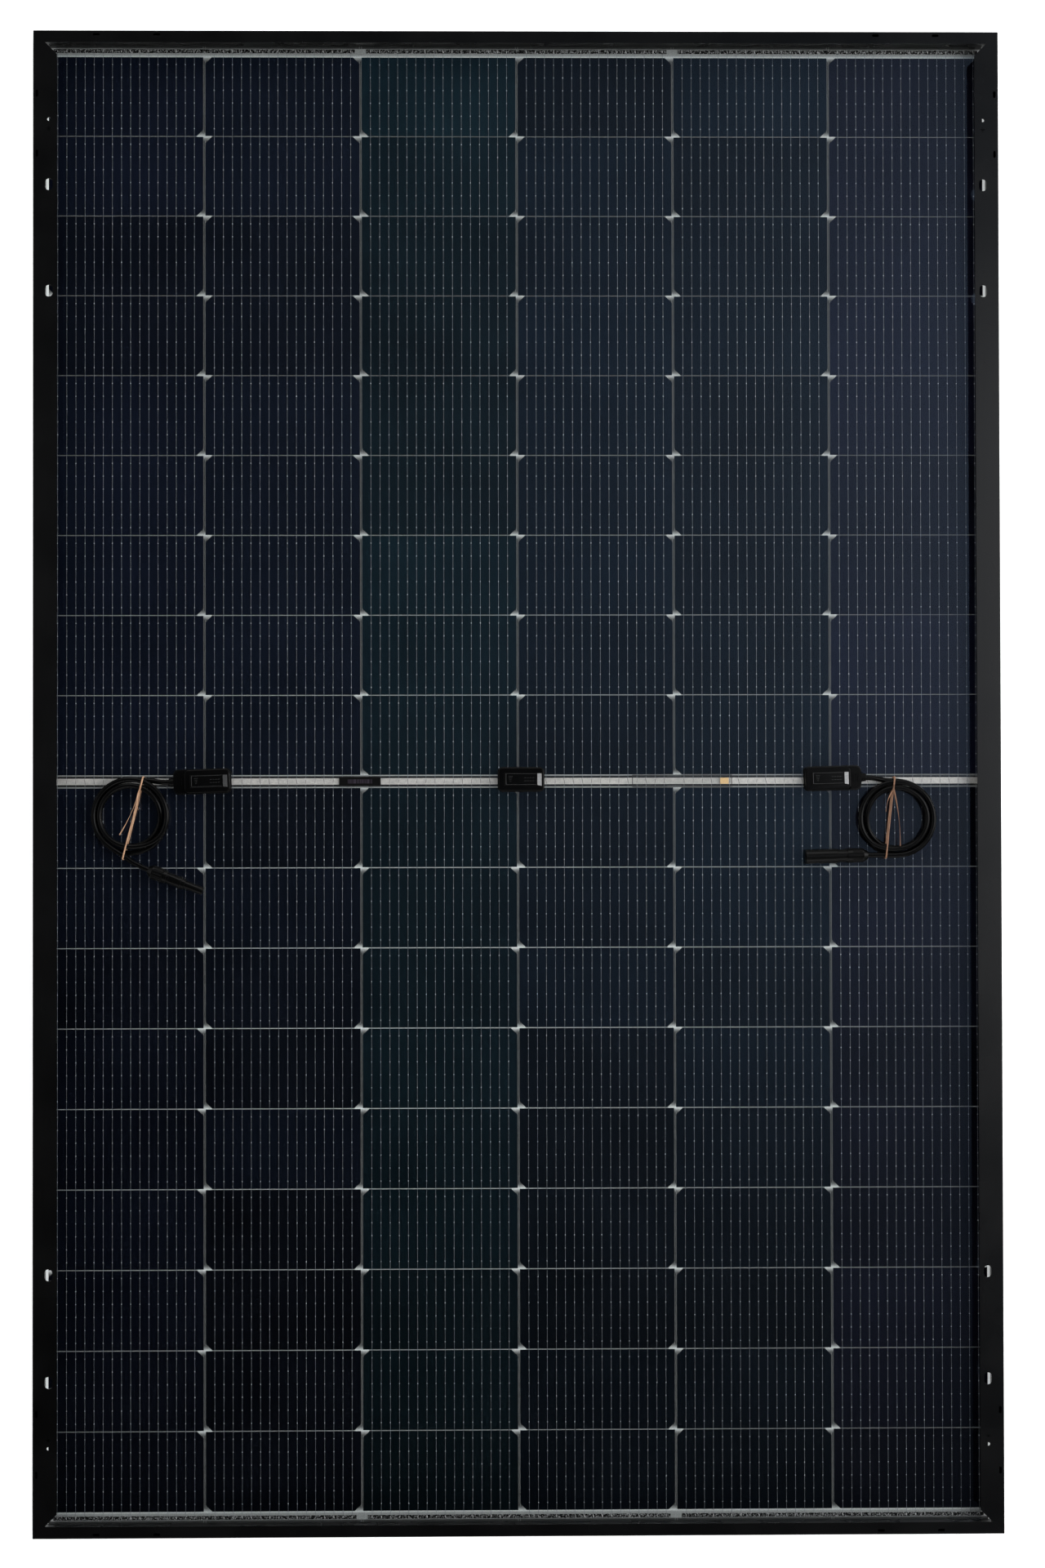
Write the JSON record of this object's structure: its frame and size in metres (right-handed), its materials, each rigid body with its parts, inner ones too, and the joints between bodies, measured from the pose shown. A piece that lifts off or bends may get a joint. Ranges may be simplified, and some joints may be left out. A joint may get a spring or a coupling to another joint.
{
  "type": "framed bifacial solar module",
  "caption": "Rigid glass-glass solar module in a black aluminium frame, seen from the rear, with junction boxes and two coiled plug-in leads.",
  "frame": {"origin": "middle of the footprint, on the plane that the front lips rest on", "axes": "+Z out of the module's rear, +Y along the long side, +X along the short side"},
  "size_m": [1.134, 1.762, 0.03],
  "materials": {
    "frame": "black anodised, satin",
    "key": "plain extruded",
    "silicone": "cured sealant, satin",
    "glass": "clear toughened glass",
    "encapsulant": "clear film",
    "cell": "dark blue silicon with a fine texture",
    "ribbon": "tinned copper, bright",
    "black_film": "matt black film",
    "clear_film": "clear film label",
    "box_plastic": "black moulded plastic",
    "diode": "black epoxy",
    "copper": "tinned copper",
    "cable": "black cross-linked sheath",
    "tie": "tan coated wire",
    "connector_plastic": "black moulded plastic"
  },
  "bodies": {
    "module": {"frame_long_left": "frame", "frame_long_right": "frame", "frame_short_upper": "frame", "frame_short_lower": "frame", "corner_keys": "key", "edge_sealant": "silicone", "front_glass": "glass", "rear_glass": "glass", "front_encapsulant": "encapsulant", "rear_encapsulant": "encapsulant", "cell_string_1_upper": "cell", "cell_string_1_lower": "cell", "cell_string_2_upper": "cell", "cell_string_2_lower": "cell", "cell_string_3_upper": "cell", "cell_string_3_lower": "cell", "cell_string_4_upper": "cell", "cell_string_4_lower": "cell", "cell_string_5_upper": "cell", "cell_string_5_lower": "cell", "cell_string_6_upper": "cell", "cell_string_6_lower": "cell", "bus_ribbons_upper": "ribbon", "bus_ribbons_lower": "ribbon", "bus_ribbons_middle": "ribbon", "insulation_strip": "black_film", "barcode_label": "black_film", "rating_label": "clear_film", "left_box_pad": "silicone", "left_box_base": "box_plastic", "left_box_diode": "diode", "left_box_terminals": "copper", "left_box_gland": "box_plastic", "middle_box_pad": "silicone", "middle_box_base": "box_plastic", "middle_box_diode": "diode", "middle_box_terminals": "copper", "right_box_pad": "silicone", "right_box_base": "box_plastic", "right_box_diode": "diode", "right_box_terminals": "copper", "right_box_gland": "box_plastic", "left_lead_exit": "cable", "left_lead_coil": "cable", "left_lead_tail": "cable", "left_lead_tie": "tie", "right_lead_exit": "cable", "right_lead_coil": "cable", "right_lead_tail": "cable", "right_lead_tie": "tie", "plug_body": "connector_plastic", "plug_contact": "copper", "socket_body": "connector_plastic", "socket_contact": "copper"},
    "left_cover": {"left_box_lid": "box_plastic"},
    "middle_cover": {"middle_box_lid": "box_plastic"},
    "right_cover": {"right_box_lid": "box_plastic"},
    "plug_cap": {"plug_nut": "connector_plastic"},
    "socket_cap": {"socket_nut": "connector_plastic"}
  },
  "joints": [
    {"name": "left_lid_lift", "type": "slide", "parent": "module", "child": "left_cover", "axis": [0, 0, 1], "range_m": [0, 0.03]},
    {"name": "middle_lid_lift", "type": "slide", "parent": "module", "child": "middle_cover", "axis": [0, 0, 1], "range_m": [0, 0.03]},
    {"name": "right_lid_lift", "type": "slide", "parent": "module", "child": "right_cover", "axis": [0, 0, 1], "range_m": [0, 0.03]},
    {"name": "plug_nut_turn", "type": "hinge", "parent": "module", "child": "plug_cap", "pos_m": [-0.42603, -0.1071, 0.0152], "axis": [-0.9304, 0.3665, 0], "range_deg": [0, 360]},
    {"name": "socket_nut_turn", "type": "hinge", "parent": "module", "child": "socket_cap", "pos_m": [0.4028, -0.08824, 0.0154], "axis": [0.9997, 0.0262, 0], "range_deg": [0, 360]}
  ]
}
